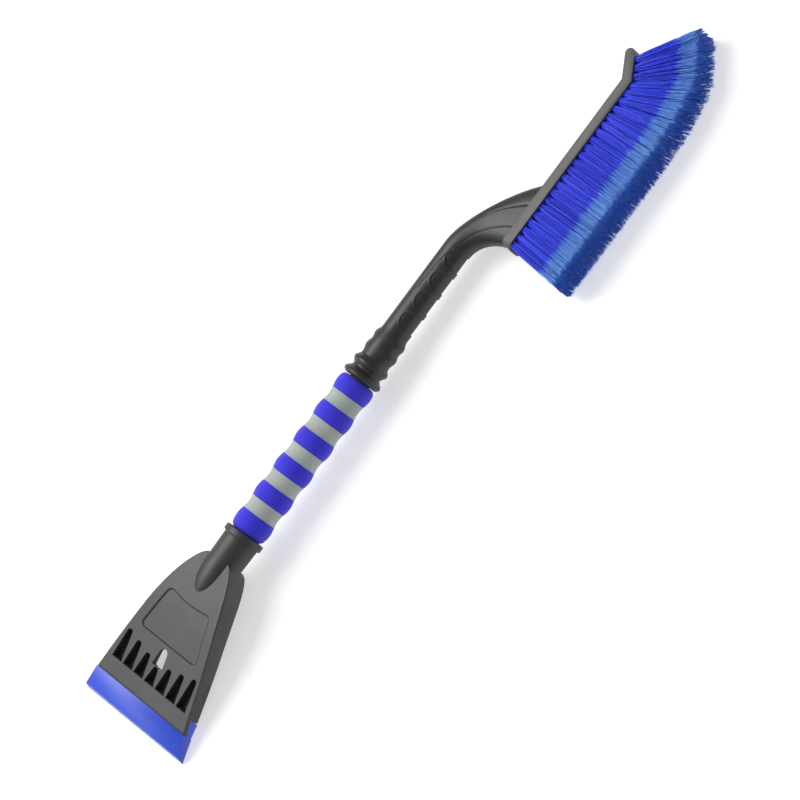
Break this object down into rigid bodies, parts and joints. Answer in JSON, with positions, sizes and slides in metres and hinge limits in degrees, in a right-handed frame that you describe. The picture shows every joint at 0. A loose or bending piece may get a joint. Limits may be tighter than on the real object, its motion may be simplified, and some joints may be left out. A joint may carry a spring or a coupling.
{
  "type": "windshield ice scraper with snow brush",
  "caption": "Long-handled windshield ice scraper with a chipping head, striped foam grip and a curved-neck snow brush that pulls off the handle.",
  "frame": {"origin": "middle of the tool's footprint, on the surface that it lies on", "axes": "+X along the handle from the scraper to the brush, -Y the way the bristles point, +Z out of the scraper's face"},
  "size_m": [0.6854, 0.1593, 0.0502],
  "materials": {
    "head_plastic": "fine-textured moulded black plastic",
    "blade_plastic": "satin blue moulded plastic",
    "tube_metal": "drawn tube, satin",
    "foam_blue": "closed-cell foam, matte",
    "foam_grey": "closed-cell foam, matte",
    "handle_plastic": "satin moulded black plastic",
    "block_plastic": "satin moulded dark grey plastic",
    "bristle": "flagged synthetic filament, blue with pale tips",
    "screw_steel": "zinc-plated steel"
  },
  "bodies": {
    "scraper": {"scraper_head": "head_plastic", "scraper_blade": "blade_plastic", "handle_tube": "tube_metal", "foam_blue_1": "foam_blue", "foam_blue_2": "foam_blue", "foam_blue_3": "foam_blue", "foam_blue_4": "foam_blue", "foam_blue_5": "foam_blue", "foam_blue_6": "foam_blue", "foam_grey_1": "foam_grey", "foam_grey_2": "foam_grey", "foam_grey_3": "foam_grey", "foam_grey_4": "foam_grey", "foam_grey_5": "foam_grey", "joint_spigot": "handle_plastic", "neck_screw": "screw_steel"},
    "brush": {"brush_handle": "handle_plastic", "bristle_block": "block_plastic", "tuft_row_1": "bristle", "tuft_row_2": "bristle", "tuft_row_3": "bristle", "tuft_anchors": "screw_steel"}
  },
  "joints": [
    {"name": "brush_pull", "type": "slide", "parent": "scraper", "child": "brush", "axis": [1, 0, 0], "range_m": [0, 0.08]}
  ]
}
